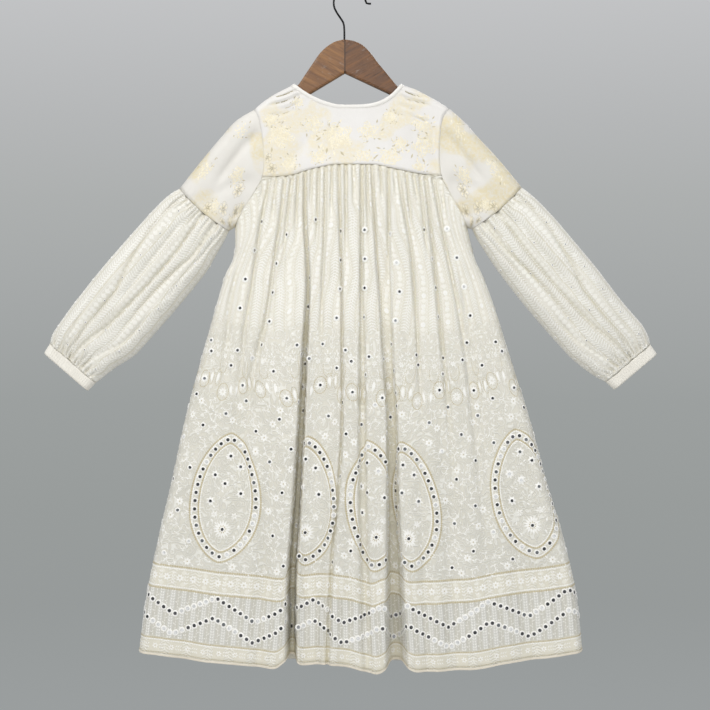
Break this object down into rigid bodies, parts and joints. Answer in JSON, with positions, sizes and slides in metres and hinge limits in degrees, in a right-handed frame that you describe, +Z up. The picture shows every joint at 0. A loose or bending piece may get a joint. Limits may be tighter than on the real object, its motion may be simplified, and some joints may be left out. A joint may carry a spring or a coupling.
{
  "type": "kurti on its clothes hanger",
  "caption": "Child's long-sleeved kurti with plain yoke, gathered embroidered skirt and sleeves, hanging on a wooden clothes hanger with a wire hook.",
  "frame": {"origin": "inside top of the hook's loop, where the wire rests on a rod", "axes": "+Z up, +X to the right of the picture's view, -Y towards the picture's viewer (the back of the kurti); the garment hangs flat in the XZ plane"},
  "size_m": [0.9798, 0.0926, 1.0916],
  "materials": {
    "yoke_cloth": "satin-faced ivory cloth with pale gold thread flowers",
    "skirt_cloth": "ivory cotton with white thread embroidery and small round mirrors",
    "sleeve_cloth": "ivory cotton with white stripes of embroidery",
    "cuff_cloth": "gathered ivory cotton over elastic",
    "binding_cloth": "white bias binding",
    "thread_white": "white embroidery thread",
    "thread_gold": "pale gold and beige embroidery thread",
    "mirror_disc": "small round mirrors",
    "wood_light": "varnished wood, worn at the edges",
    "wood_dark": "varnished wood, darker, worn at the edges",
    "hook_metal": "black wire, satin"
  },
  "bodies": {
    "root": {"yoke_back": "yoke_cloth", "yoke_front": "yoke_cloth", "sleeve_upper_left": "yoke_cloth", "sleeve_upper_right": "yoke_cloth", "skirt_back": "skirt_cloth", "skirt_front": "skirt_cloth", "sleeve_lower_left": "sleeve_cloth", "sleeve_lower_right": "sleeve_cloth", "cuff_left": "cuff_cloth", "cuff_right": "cuff_cloth", "neck_binding": "binding_cloth", "hanger_arm_left": "wood_light", "hanger_arm_right": "wood_dark", "hanger_hook": "hook_metal"}
  },
  "joints": []
}
